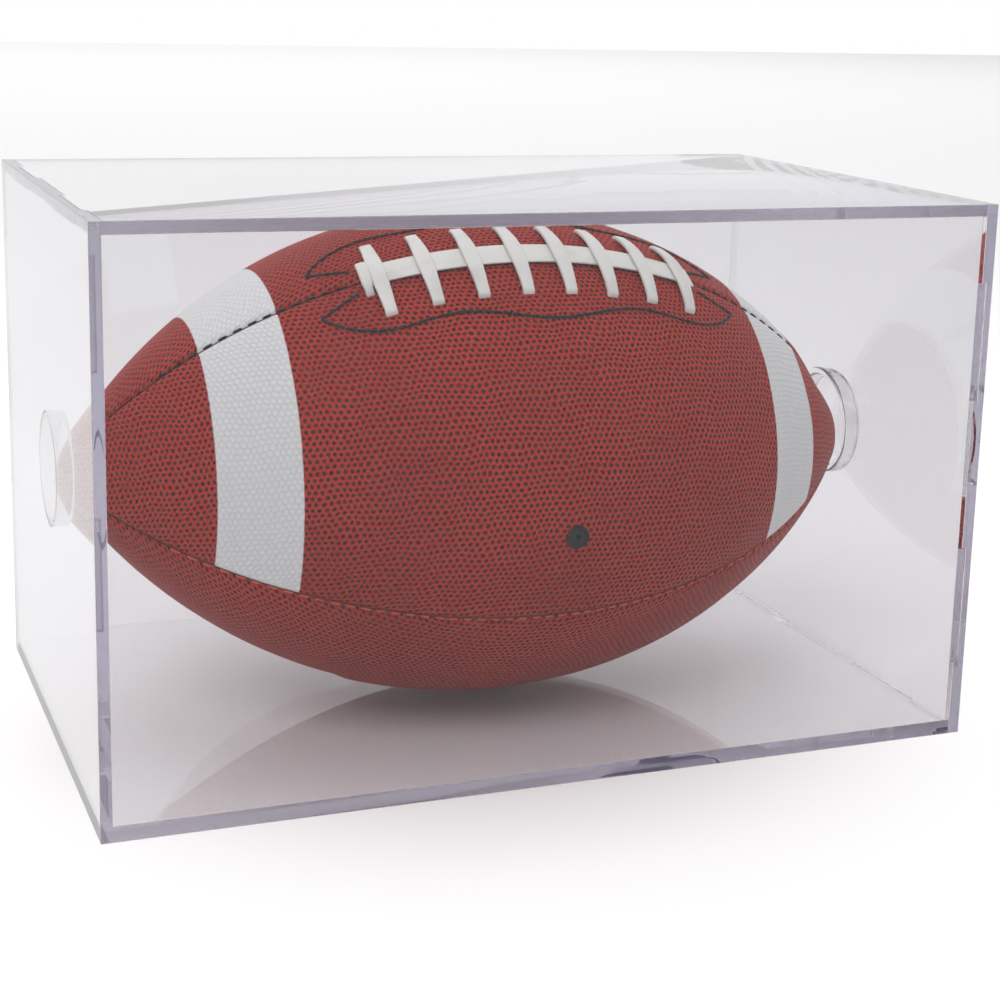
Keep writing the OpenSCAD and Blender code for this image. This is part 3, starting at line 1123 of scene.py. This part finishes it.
@dataclass
class LeatherCover:
    """The four leather panels."""

    ball: BallShape
    laces: LacePlan
    leather: float = 2.2
    seam_gap: float = 0.6
    lip_width: float = 2.4
    lip_depth: float = 0.95
    dent: float = 0.35
    valve_x: float = 5.5
    valve_angle: float = 69.0
    valve_d: float = 8.0
    valve_play: float = 0.15
    names: tuple[str, ...] = ("upper_front", "lower_front", "lower_back", "upper_back")

    def meridian(self) -> Piece:
        """Return the outline over the lace seam, as a line of edges."""
        ball = self.ball
        turn = ball.join_x
        line = Piece.hoop("meridian", ball.body_r, (0, 0, -ball.sink), 480)
        with line.editing():
            line.slice((turn, 0, 0), (1, 0, 0))
            line.slice((-turn, 0, 0), (-1, 0, 0))
            line.slice((0, 0, 0), (0, 0, -1))
        for side in (-1, 1):
            tip = Piece.hoop("tip", ball.tip_r, (side * ball.tip_x, 0, 0), 96)
            with tip.editing():
                tip.slice((side * turn, 0, 0), (-side, 0, 0))
                tip.slice((0, 0, -0.0001), (0, 0, -1))
            line.join(tip)
        with line.editing():
            bpy.ops.mesh.remove_doubles(threshold=0.06 * MM)
        return line

    def quarter(self) -> Piece:
        """Return the upper front panel's outer skin, before its holes."""
        skin = self.meridian()
        with skin.editing():
            skin.spin(64, math.pi / 2, (0, 0, 0), (1, 0, 0))
        with skin.editing():
            bpy.ops.mesh.remove_doubles(threshold=0.002 * MM)
            for cut in (0.5 * self.seam_gap, 0.65, 1.05, 1.6, 2.3):
                first = cut == 0.5 * self.seam_gap
                skin.slice((0, -cut, 0), (0, 1, 0), clear=first)
                skin.slice((0, 0, cut), (0, 0, -1), clear=first)
            bpy.ops.mesh.select_all(action="SELECT")
            bpy.ops.mesh.dissolve_degenerate(threshold=0.004 * MM)
            bpy.ops.mesh.select_all(action="SELECT")
            bpy.ops.mesh.normals_make_consistent(inside=False)
        if self.faces_in(skin):
            with skin.editing():
                bpy.ops.mesh.flip_normals()
        return skin

    @staticmethod
    def faces_in(skin: Piece) -> bool:
        """Say whether an open skin round the X axis has its faces turned inwards."""
        return sum(face.normal.dot(Vector((0, *face.center[1:]))) for face in skin.obj.data.polygons) < 0

    def lip(self, place: Vector) -> float:
        """Return how strongly a point is drawn in by the seams, from 0 to 1."""
        near = min(-place.y, place.z) - 0.5 * self.seam_gap
        rise = max(0.0, 1.0 - near / self.lip_width)
        return rise**2.2 * max(0.0, min(1.0, (math.hypot(place.y, place.z) - 4.0) / 8.0))

    def body(self, place: Vector) -> float:
        """Return 1 where the leather may be uneven, down to 0 at the tips and the seams."""
        near = min(-place.y, place.z)
        return max(0.0, min(1.0, (112 - abs(place.x)) / 25)) * max(0.0, min(1.0, near / 8))

    def dented(self, skin: Piece) -> Piece:
        """Draw the skin in at the seams and leave it a little uneven."""
        texture = bpy.data.textures.new("uneven_leather", "CLOUDS")
        texture.noise_scale = 0.035
        texture.noise_depth = 1
        skin.modify(
            "DISPLACE",
            texture=texture,
            texture_coords="LOCAL",
            strength=self.dent * MM,
            mid_level=0.5,
            vertex_group=skin.weigh("body", self.body),
        )
        skin.modify(
            "DISPLACE",
            strength=-self.lip_depth * MM,
            mid_level=0.0,
            vertex_group=skin.weigh("lip", self.lip),
        )
        return skin.unweigh()

    def grain(self, quarter: int) -> Callable[[Vector, Vector], tuple[float, float]]:
        """Return the chart of one panel: length along the outline, and round the football.

        Args:
            quarter: The panel's number, counted from the lace seam over the front.

        Returns:
            The function that places a corner on the chart, in metres.
        """

        def place(corner: Vector, middle: Vector) -> tuple[float, float]:
            angle = math.degrees(math.atan2(-corner.y, corner.z)) - 90.0 * quarter - 45.0
            angle = math.radians((angle + 180.0) % 360.0 - 180.0)
            return (
                (self.ball.arc(max(-self.ball.half_len, min(self.ball.half_len, corner.x))) + 400 * quarter) * MM,
                self.ball.radius(corner.x) * angle * MM,
            )

        return place

    def holes(self, quarter: int) -> list[Piece]:
        """Return the tools that make one panel's holes for the laces and the valve."""
        tools = []
        side = {0: -1, 3: 1}.get(quarter)
        if side is not None:
            first = self.hole("lace_hole", self.laces.leg_d + 2 * self.laces.play, self.laces.width + 0.6)
            for number in range(1, self.laces.count + 1):
                tools.append(first.copy("lace_hole").move(self.laces.leg_frame(number, side)))
            bpy.data.objects.remove(first.obj)
        if quarter == 0:
            wide = self.valve_d + 2 * self.valve_play
            tools.append(self.hole("valve_hole", wide, wide).move(self.ball.on_seam(self.valve_x, self.valve_angle)))
        return tools

    @staticmethod
    def hole(name: str, wide: float, long: float) -> Piece:
        """Return an upright tool through the leather, wide across and long along the football."""
        tool = Piece.rod(name, wide / 2, 12, 20)
        stretch = Matrix.Diagonal((long / wide, 1, 1, 1))
        return tool.move(Matrix.Translation((0, 0, -7 * MM)) @ stretch)

    def build(self, plain: bpy.types.Material, banded: bpy.types.Material) -> list[bpy.types.Object]:
        """Make the four panels.

        Args:
            plain: Finish of the two lower panels.
            banded: Finish of the two upper panels.

        Returns:
            The finished objects.
        """
        first = self.dented(self.quarter())
        made = []
        for quarter, name in enumerate(self.names):
            panel = first.copy(f"leather_{name}").move(Matrix.Rotation(math.radians(90 * quarter), 4, "X"))
            panel.modify("SOLIDIFY", thickness=self.leather * MM, offset=-1.0, use_even_offset=False)
            holes = self.holes(quarter)
            if holes:
                panel.combine("DIFFERENCE", holes[0].join(*holes[1:]), solver="MANIFOLD")
            panel.chart("grain", self.grain(quarter)).move(self.ball.in_case())
            finish = banded if quarter in (0, 3) else plain
            made.append(panel.finish(finish, Body.BALL, Slot.LEATHER, [f"panel_{name}"], angle=50.0))
        bpy.data.objects.remove(first.obj)
        return made


@dataclass
class Laces:
    """The run along the seam, its knot and the eight cross laces.

    The cross laces are copies of one strap. Each strand of the run is given by the heights of its
    underside and top, and its width.
    """

    plan: LacePlan
    pattern: int = 3
    more_reach: float = 0.4
    more_width: float = 1.6
    narrow_steps: int = 7
    narrow_share: float = 0.96
    rounding: float = 0.42
    turn_deg: float = 66.0
    leg: float = 2.6
    strands: tuple[tuple[float, float, float], ...] = ((0.0, 0.72, 5.6), (0.66, 1.4, 9.0))

    def strap(self, name: str, number: int, half: float, wide: float, thick: float, base: float) -> Piece:
        """Return a rounded flat strap bent over the run, with both ends turned down into the leather.

        Args:
            name: The piece's name.
            number: The cross lace whose place gives the surface's curve.
            half: Half the strap's reach across the seam.
            wide: Its width.
            thick: Its thickness.
            base: Height of its underside over the seam.

        Returns:
            The strap, in the frame that stands on the seam.
        """
        corner = self.plan.run_width / 2
        drop = self.plan.drop(number, half)
        middle = (corner**2 + base**2 - half**2 - drop**2) / (2 * (base + drop))
        bend = math.hypot(corner, base - middle)
        sweep = math.asin(half / bend)
        strap = Piece.card(name, (wide, thick), (0, 0, middle + bend + thick / 2), (math.pi / 2, 0, 0))
        with strap.editing("VERT"):
            bpy.ops.mesh.bevel(offset=thick * self.rounding * MM, segments=4, affect="VERTICES")
        with strap.editing("FACE"):
            strap.spin(14, sweep, (0, 0, middle), (1, 0, 0))
            strap.pick(lambda place, normal: abs(place.y) < 0.01 and abs(normal.y) > 0.9)
            bpy.ops.mesh.delete(type="FACE")
        self.turn_down(strap, middle, bend, sweep)
        self.narrow(strap, corner, half)
        strap.modify("MIRROR", use_axis=(False, True, False), use_clip=True, merge_threshold=0.01 * MM)
        return strap.seal()

    def narrow(self, strap: Piece, start: float, end: float) -> None:
        """Draw the strap in towards its end, a little more at each step.

        Args:
            strap: Half a strap that ends on the front side.
            start: Distance from the seam where it starts to narrow.
            end: Distance from the seam of its end.
        """
        with strap.editing("VERT"):
            for step in range(self.narrow_steps):
                from_y = start + (end - start) * step / self.narrow_steps
                strap.pick(lambda place, normal: -place.y > from_y, "VERT")
                bpy.ops.transform.resize(value=(self.narrow_share, 1, 1), center_override=(0, 0, 0))

    def turn_down(self, strap: Piece, middle: float, bend: float, sweep: float) -> None:
        """Bend the strap's front end down into its hole.

        Args:
            strap: Half a strap that ends on the front side.
            middle: Height of its bend's centre.
            bend: Radius of its underside.
            sweep: Angle that it covers.
        """
        under = Vector((0, -bend * math.sin(sweep), middle + bend * math.cos(sweep)))
        inward = Vector((0, math.sin(sweep), -math.cos(sweep)))
        pivot = under + inward * 0.5

        def is_end(place: Vector, normal: Vector) -> bool:
            away = Vector((0, place.y, place.z - middle))
            return abs(math.atan2(-away.y, away.z) - sweep) < 0.004 and abs(normal.x) < 0.01

        with strap.editing("FACE"):
            strap.pick(is_end)
            turn = math.radians(self.turn_deg)
            strap.spin(7, turn, pivot, (1, 0, 0))
            way = Vector((0, -math.cos(sweep + turn), -math.sin(sweep + turn)))
            bpy.ops.mesh.extrude_region_move(TRANSFORM_OT_translate={"value": way * self.leg * MM})

    def build(self, finish: bpy.types.Material) -> list[bpy.types.Object]:
        """Make every lace.

        Args:
            finish: The lace material.

        Returns:
            The finished objects.
        """
        plan, ball = self.plan, self.plan.ball
        made = []
        reach, width = plan.reach + self.more_reach, plan.width + self.more_width
        first = self.strap("lace_across", self.pattern, reach, width, plan.thick, plan.run_thick)
        for number in range(1, plan.count + 1):
            lace = first.copy(f"lace_across_{number}")
            lace.move(ball.in_case() @ ball.on_seam(plan.station(number)))
            made.append(lace.finish(finish, Body.BALL, Slot.LACE, [f"cross_lace_{number}"], angle=60.0))
        bpy.data.objects.remove(first.obj)
        made.append(self.run(finish))
        made.append(self.knot(finish))
        return made

    def run(self, finish: bpy.types.Material) -> bpy.types.Object:
        """Return the run: flat strands one on the other along the seam."""
        plan, ball = self.plan, self.plan.ball
        start = plan.station(1) - plan.run_tail
        end = plan.station(plan.count) + plan.run_tail
        strands = []
        for low, high, wide in self.strands:
            thick = high - low
            middle = (0, 0, ball.body_r - ball.sink + (low + high) / 2)
            strand = Piece.card("run", (thick, wide), middle, (0, math.pi / 2, 0))
            with strand.editing("VERT"):
                bpy.ops.mesh.bevel(offset=thick * self.rounding * MM, segments=3, affect="VERTICES")
            strand.move(
                Matrix.Translation((0, 0, -ball.sink * MM))
                @ Matrix.Rotation(ball.lean(start), 4, "Y")
                @ Matrix.Translation((0, 0, ball.sink * MM))
            )
            with strand.editing("FACE"):
                strand.spin(72, ball.lean(end) - ball.lean(start), (0, 0, -ball.sink), (0, 1, 0))
            strands.append(strand.seal())
        lace = strands[0].join(strands[1])
        lace.obj.name = "lace_run_along"
        lace.move(ball.in_case())
        return lace.finish(finish, Body.BALL, Slot.LACE, ["lace_run"], angle=60.0)

    def knot(self, finish: bpy.types.Material) -> bpy.types.Object:
        """Return the knotted end: a short turn over the run beside the first cross lace."""
        plan, ball = self.plan, self.plan.ball
        reach = plan.run_width / 2 + plan.knot_foot
        wrap = self.strap("lace_knot_wrap", 1, reach, plan.width, plan.thick * 1.1, plan.run_thick)
        wrap.move(ball.in_case() @ ball.on_seam(plan.station(1) - plan.width - plan.knot_gap))
        return wrap.finish(finish, Body.BALL, Slot.LACE, ["lace_knot"], angle=60.0)


@dataclass
class Stitching:
    """The thread of the four seams and the outline round the laces."""

    plan: LacePlan
    thread_d: float = 0.8
    outline_d: float = 1.2
    seam_pitch: float = 4.5
    seam_end: float = 26.0
    seam_bare: float = 0.2
    outline_count: int = 48
    outline_half: float = 74.0
    outline_angle: float = 17.2
    outline_wave: float = 1.6
    outline_waves: float = 1.163
    outline_tip: float = 9.0
    outline_root: float = 4.3
    outline_back: float = 13.0
    back_count: int = 5
    outline_bare: float = 0.02
    outline_lift: float = 0.08
    corner_power: float = 7.0
    corner_close: float = 0.9

    def stitch(self, name: str, wide: float) -> Piece:
        """Return one stitch of unit length along Z, rounded at both ends, with its twist charted."""
        stitch = Piece.rod(name, wide / 2, 1.0, 8)
        with stitch.editing("EDGE"):
            stitch.pick(lambda middle, way: abs(way.z) < 0.1, "EDGE")
            bpy.ops.mesh.bevel(offset=self.thread_d * 0.3 * MM, segments=2, affect="EDGES")
        return stitch.chart(
            "twist", lambda place, middle: (place.z, math.atan2(middle.y, middle.x) / (2 * math.pi))
        )

    @staticmethod
    def laid(start: Vector, end: Vector) -> Matrix:
        """Return the move that lays a unit stitch from start to end, in millimetres."""
        way = end - start
        turn = way.to_track_quat("Z", "Y").to_matrix().to_4x4()
        return Matrix.Translation(start * MM) @ turn @ Matrix.Diagonal((1, 1, way.length, 1))

    def sewn(self, name: str, spans: Sequence[tuple[Vector, Vector]], wide: float) -> Piece:
        """Return one thread of a given thickness: a stitch for each span."""
        first = self.stitch(name, wide)
        others = [first.copy("stitch").move(self.laid(start, end)) for start, end in spans[1:]]
        first.move(self.laid(*spans[0]))
        return first.join(*others).move(self.plan.ball.in_case())

    def seam(self, quarter: int) -> list[tuple[Vector, Vector]]:
        """Return the spans of one seam's stitches."""
        ball, plan = self.plan.ball, self.plan
        span = ball.half_len - self.seam_end
        count = math.floor(2 * span / self.seam_pitch)
        step = 2 * span / count
        left = plan.station(1) - plan.run_tail - step if quarter == 0 else ball.half_len
        right = plan.station(plan.count) + plan.run_tail + step if quarter == 0 else ball.half_len
        spans = []
        for number in range(count):
            start = -span + (number + self.seam_bare) * step
            end = -span + (number + 1 - self.seam_bare) * step
            if end < left or start > right:
                spans.append(
                    (
                        ball.point(start, 90 * quarter, -self.thread_d * 0.6),
                        ball.point(end, 90 * quarter, -self.thread_d * 0.6),
                    )
                )
        return spans

    def spot(self, t: float, side: int) -> Vector:
        """Return a point of the outline.

        Args:
            t: -1 to 1 along the wave, and on to -2 and 2 for the way back from a tip to the laces.
            side: 1 for the front, -1 for the back.

        Returns:
            The point, in the football's own frame and in millimetres.
        """
        u = max(-1.0, min(1.0, t))
        back = abs(t - u)
        wave = self.outline_angle + self.outline_wave * math.cos(2 * math.pi * u * self.outline_waves)
        angle = self.outline_tip + (wave - self.outline_tip) * max(
            0.0, 1 - abs(u) ** self.corner_power
        ) ** self.corner_close
        angle -= (self.outline_tip - self.outline_root) * back
        x = self.plan.middle + self.outline_half * u - math.copysign(self.outline_back * back, u)
        return self.plan.ball.point(x, side * angle, self.outline_lift)

    def outline(self, side: int) -> list[tuple[Vector, Vector]]:
        """Return the spans of the outline on the front (1) or the back (-1)."""
        spans = []
        wave, way_back = self.outline_count, self.back_count
        for first, last, count in ((-2, -1, way_back), (-1, 1, wave), (1, 2, way_back)):
            step = (last - first) / count
            for number in range(count):
                start = first + (number + self.outline_bare) * step
                end = first + (number + 1 - self.outline_bare) * step
                spans.append((self.spot(start, side), self.spot(end, side)))
        return spans

    def build(self, black: bpy.types.Material, red: bpy.types.Material) -> list[bpy.types.Object]:
        """Make every thread.

        Args:
            black: Finish of the outline and the lace seam.
            red: Finish of the other seams.

        Returns:
            The finished objects.
        """
        made = []
        for quarter, name in enumerate(("lace_seam", "front_seam", "bottom_seam", "back_seam")):
            thread = self.sewn(f"thread_{name}", self.seam(quarter), self.thread_d)
            finish = black if quarter == 0 else red
            made.append(thread.finish(finish, Body.BALL, Slot.THREAD, [f"stitching_{name}"], angle=80.0))
        for side, name in ((1, "facing_front"), (-1, "facing_back")):
            thread = self.sewn(f"thread_{name}", self.outline(side), self.outline_d)
            made.append(thread.finish(black, Body.BALL, Slot.THREAD, [f"stitching_{name}"], angle=80.0))
        return made


@dataclass
class InflationValve:
    """The black rubber plug with its needle hole."""

    ball: BallShape
    x: float = 5.5
    angle: float = 69.0
    across: float = 8.0
    needle: float = 1.8
    foot: float = -3.88
    proud: float = 0.1
    floor: float = 1.2

    def build(self, finish: bpy.types.Material) -> bpy.types.Object:
        """Make the valve.

        Args:
            finish: The rubber material.

        Returns:
            The finished object.
        """
        plug = Piece.rod("valve_plug", self.across / 2, self.proud - self.foot, 64)
        top = self.proud - self.foot
        with plug.editing("FACE"):
            plug.pick(lambda middle, normal: normal.z > 0.9)
            bpy.ops.mesh.inset(thickness=0.9 * MM)
            bpy.ops.mesh.inset(thickness=0.35 * MM, depth=-0.25 * MM)
            bpy.ops.mesh.inset(thickness=0.35 * MM, depth=0.2 * MM)
            bpy.ops.mesh.inset(thickness=(self.across / 2 - 1.6 - self.needle / 2) * MM)
            bpy.ops.mesh.extrude_region_move(
                TRANSFORM_OT_translate={"value": (0, 0, (self.floor - top) * MM)}
            )
        with plug.editing("EDGE"):
            plug.pick(lambda middle, way: abs(way.z) < 0.01 and middle.z > top - 0.3, "EDGE")
            bpy.ops.mesh.bevel(offset=0.1 * MM, segments=2, affect="EDGES")
        plug.tidy()
        plug.move(
            self.ball.in_case()
            @ self.ball.on_seam(self.x, self.angle)
            @ Matrix.Translation((0, 0, self.foot * MM))
        )
        return plug.finish(finish, Body.BALL, Slot.VALVE, ["inflation_valve"])


# ---------------------------------------------------------------------------------------------
# Studio
# ---------------------------------------------------------------------------------------------


@dataclass(frozen=True)
class Lamp:
    """One soft area lamp, in metres."""

    name: str
    place: Colour
    aim: Colour
    size: tuple[float, float]
    watts: float
    mirrored: bool = True

    def build(self) -> bpy.types.Object:
        """Return the lamp."""
        data = bpy.data.lights.new(self.name, "AREA")
        data.shape = "RECTANGLE"
        data.size, data.size_y = self.size
        data.energy = self.watts
        lamp = bpy.data.objects.new(self.name, data)
        bpy.context.scene.collection.objects.link(lamp)
        lamp.location = self.place
        lamp.visible_glossy = self.mirrored
        lamp.visible_transmission = self.mirrored
        lamp.rotation_euler = (Vector(self.aim) - Vector(self.place)).to_track_quat("-Z", "Y").to_euler()
        return lamp


@dataclass
class Studio:
    """Floor, light and camera. The camera's sizes are millimetres and degrees."""

    camera_place: Colour = (-239.6, -648.5, 254.1)
    azimuth: float = 21.94
    elevation: float = 12.54
    roll: float = 1.58
    lens: float = 71.93
    shift: tuple[float, float] = (-0.0305, -0.0783)
    backdrop: float = 1.0
    room: float = 0.15
    ceiling: float = 0.7
    lamps: tuple[Lamp, ...] = (
        Lamp("key", (-0.9, -1.0, 1.5), (0.0, 0.0, 0.1), (0.9, 0.9), 14.0),
        Lamp("fill", (1.4, -0.9, 0.9), (0.0, 0.0, 0.1), (1.0, 1.0), 4.0),
        Lamp("top", (0.0, 0.3, 1.6), (0.0, 0.0, 0.1), (1.2, 1.0), 6.0, False),
        Lamp("backdrop", (0.8, 4.5, 3.5), (0.8, 4.5, 0.0), (7.0, 6.0), 130.0, False),
    )

    def camera(self) -> bpy.types.Object:
        """Place the camera."""
        az, el, roll = (math.radians(v) for v in (self.azimuth, self.elevation, self.roll))
        look = Vector((math.sin(az) * math.cos(el), math.cos(az) * math.cos(el), -math.sin(el)))
        right = Vector((math.cos(az), -math.sin(az), 0))
        up = right.cross(look)
        turned = right * math.cos(roll) + up * math.sin(roll)
        raised = up * math.cos(roll) - right * math.sin(roll)
        data = bpy.data.cameras.new("camera")
        data.sensor_width = 36.0
        data.lens = self.lens
        data.shift_x, data.shift_y = self.shift
        data.clip_start = 0.01
        camera = bpy.data.objects.new("camera", data)
        bpy.context.scene.collection.objects.link(camera)
        axes = Matrix((turned, raised, -look)).transposed().to_4x4()
        camera.matrix_world = Matrix.Translation(Vector(self.camera_place) * MM) @ axes
        bpy.context.scene.camera = camera
        return camera

    def sky(self) -> None:
        """Set the surroundings: a white backdrop behind the case and a dimmer room before it."""
        world = bpy.data.worlds.new("studio")
        bpy.context.scene.world = world
        world.use_nodes = True
        tree = world.node_tree
        tree.nodes.clear()
        way = tree.nodes.new("ShaderNodeTexCoord").outputs["Generated"]
        split = tree.nodes.new("ShaderNodeSeparateXYZ")
        tree.links.new(way, split.inputs[0])
        level = self.ramp(tree, split.outputs["Y"], (-0.2, 0.5), (self.room, self.backdrop))
        level = self.ramp(tree, split.outputs["Z"], (0.25, 0.8), (level, self.ceiling))
        path = tree.nodes.new("ShaderNodeLightPath")
        level = self.ramp(tree, path.outputs["Is Camera Ray"], (0.0, 1.0), (level, 1.0))
        back = tree.nodes.new("ShaderNodeBackground")
        back.inputs["Color"].default_value = (1.0, 1.0, 1.0, 1.0)
        tree.links.new(level, back.inputs["Strength"])
        out = tree.nodes.new("ShaderNodeOutputWorld")
        tree.links.new(back.outputs[0], out.inputs["Surface"])

    @staticmethod
    def ramp(
        tree: bpy.types.NodeTree, value: bpy.types.NodeSocket, span: tuple[float, float], levels: tuple[Any, Any]
    ) -> bpy.types.NodeSocket:
        """Return a smooth step of the sky's level over a span of a value.

        Args:
            tree: The sky's node tree.
            value: What the step depends on.
            span: Where it starts and ends.
            levels: The level before and after, as numbers or sockets.

        Returns:
            The stepped level.
        """
        step = tree.nodes.new("ShaderNodeMapRange")
        step.interpolation_type = "SMOOTHSTEP"
        tree.links.new(value, step.inputs["Value"])
        for name, number in zip(("From Min", "From Max"), span):
            step.inputs[name].default_value = number
        for name, level in zip(("To Min", "To Max"), levels):
            if isinstance(level, bpy.types.NodeSocket):
                tree.links.new(level, step.inputs[name])
            else:
                step.inputs[name].default_value = level
        return step.outputs[0]

    def floor(self) -> None:
        """Lay the floor a hair under the case."""
        low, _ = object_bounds()
        bpy.ops.object.select_all(action="DESELECT")
        bpy.ops.mesh.primitive_plane_add(size=12.4, location=(0, 0, low[2] - 0.3 * MM))
        floor = bpy.context.active_object
        floor.name = "studio_floor"
        floor.data.materials.append(StudioFloor().build())
        floor.visible_glossy = False
        floor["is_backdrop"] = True

    def build(self) -> None:
        """Set up the studio."""
        self.camera()
        self.sky()
        self.floor()
        for lamp in self.lamps:
            lamp.build()
        view = bpy.context.scene.view_settings
        view.view_transform = "Standard"
        view.look = "None"
        light = bpy.context.scene.cycles
        light.max_bounces, light.diffuse_bounces = 64, 3
        light.glossy_bounces = light.transmission_bounces = 64
        log.info("studio: %d lamps", len(self.lamps))


def dress_inside(frame: dict[str, Any]) -> None:
    """Give the CAD nodes inside the football their finishes."""
    finishes = {
        "liner_": WovenLiner().build(),
        "lace_facing_": FleshLeather().build(),
        "bladder": MouldedRubber("bladder_rubber").build(),
    }
    for name, node in frame["nodes"].items():
        for start, finish in finishes.items():
            if name.startswith(start):
                node.data.materials.clear()
                node.data.materials.append(finish)
                log.info("%s: %s", name, finish.name)


def main() -> None:
    """Build the case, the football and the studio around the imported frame."""
    logging.basicConfig(level=logging.INFO, format="%(name)s %(message)s")
    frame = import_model()
    studio = Studio()
    studio.build()
    ball = BallShape()
    laces = LacePlan(ball)
    DisplayCase().build(ClearAcrylic().build())
    LeatherCover(ball, laces).build(
        PebbledLeather("leather_plain").build(), PebbledLeather("leather_banded", striped=True).build()
    )
    Laces(laces).build(LaceCord().build())
    Stitching(laces).build(
        SewingThread("thread_black", (0.004, 0.0035, 0.0035), (0.014, 0.012, 0.012)).build(),
        SewingThread("thread_red", (0.50, 0.06, 0.02), (0.75, 0.14, 0.05)).build(),
    )
    InflationValve(ball).build(MouldedRubber("valve_rubber").build())
    dress_inside(frame)


if __name__ == "__main__":
    main()
